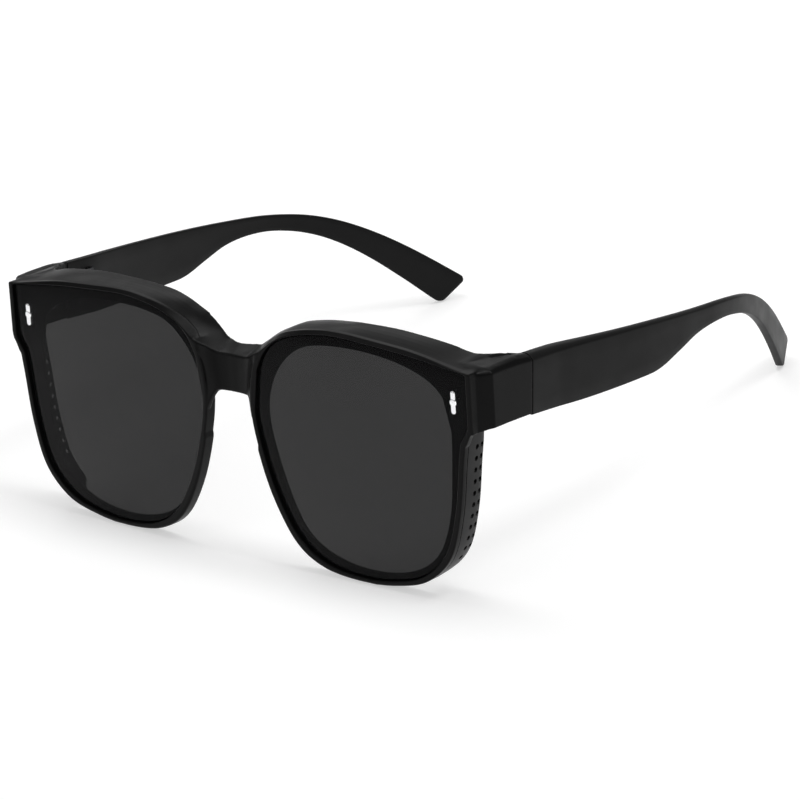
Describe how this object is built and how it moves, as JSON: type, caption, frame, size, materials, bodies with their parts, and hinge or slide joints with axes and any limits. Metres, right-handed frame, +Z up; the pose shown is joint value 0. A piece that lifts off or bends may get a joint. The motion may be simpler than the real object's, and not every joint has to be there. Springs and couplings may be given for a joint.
{
  "type": "fit-over sunglasses",
  "caption": "Full-rim fit-over sunglasses with inset smoke lenses, vented side shields and wide folding temples on barrel hinges.",
  "frame": {"origin": "on the table, under the middle of the glasses as they rest open on their rims and temple tips", "axes": "+X towards the wearer's left, -Y the way the wearer looks, +Z up; the lenses lean back by the resting tilt"},
  "size_m": [0.1558, 0.151, 0.0616],
  "materials": {
    "frame_plastic": "satin injection-moulded black plastic",
    "temple_plastic": "satin black plastic",
    "shield_plastic": "smooth smoke-black plastic, drilled with vents",
    "smoke_lens": "polished dark smoke-tinted plastic sheet",
    "rivet_metal": "polished silver-coloured metal",
    "hinge_metal": "plain nickel-coloured metal",
    "screw_metal": "plain steel",
    "washer_plastic": "natural nylon"
  },
  "bodies": {
    "front": {"front_frame": "frame_plastic", "lens_left": "smoke_lens", "lens_right": "smoke_lens", "lens_rivet_left": "rivet_metal", "lens_rivet_right": "rivet_metal", "side_shield_left": "shield_plastic", "side_shield_right": "shield_plastic", "hinge_front_leaf_left": "hinge_metal", "hinge_front_leaf_right": "hinge_metal", "front_leaf_screws_left": "screw_metal", "front_leaf_screws_right": "screw_metal", "hinge_screw_left": "screw_metal", "hinge_screw_right": "screw_metal", "hinge_washers_left": "washer_plastic", "hinge_washers_right": "washer_plastic"},
    "left_temple": {"temple_left": "temple_plastic", "hinge_temple_leaf_left": "hinge_metal", "temple_leaf_screws_left": "screw_metal"},
    "right_temple": {"temple_right": "temple_plastic", "hinge_temple_leaf_right": "hinge_metal", "temple_leaf_screws_right": "screw_metal"}
  },
  "joints": [
    {"name": "left_temple_hinge", "type": "hinge", "parent": "front", "child": "left_temple", "pos_m": [0.07092, -0.04911, 0.0474], "axis": [0, 0.1172, 0.9931], "range_deg": [0, 86]},
    {"name": "right_temple_hinge", "type": "hinge", "parent": "front", "child": "right_temple", "pos_m": [-0.07092, -0.04911, 0.0474], "axis": [0, -0.1172, -0.9931], "range_deg": [0, 78]}
  ]
}
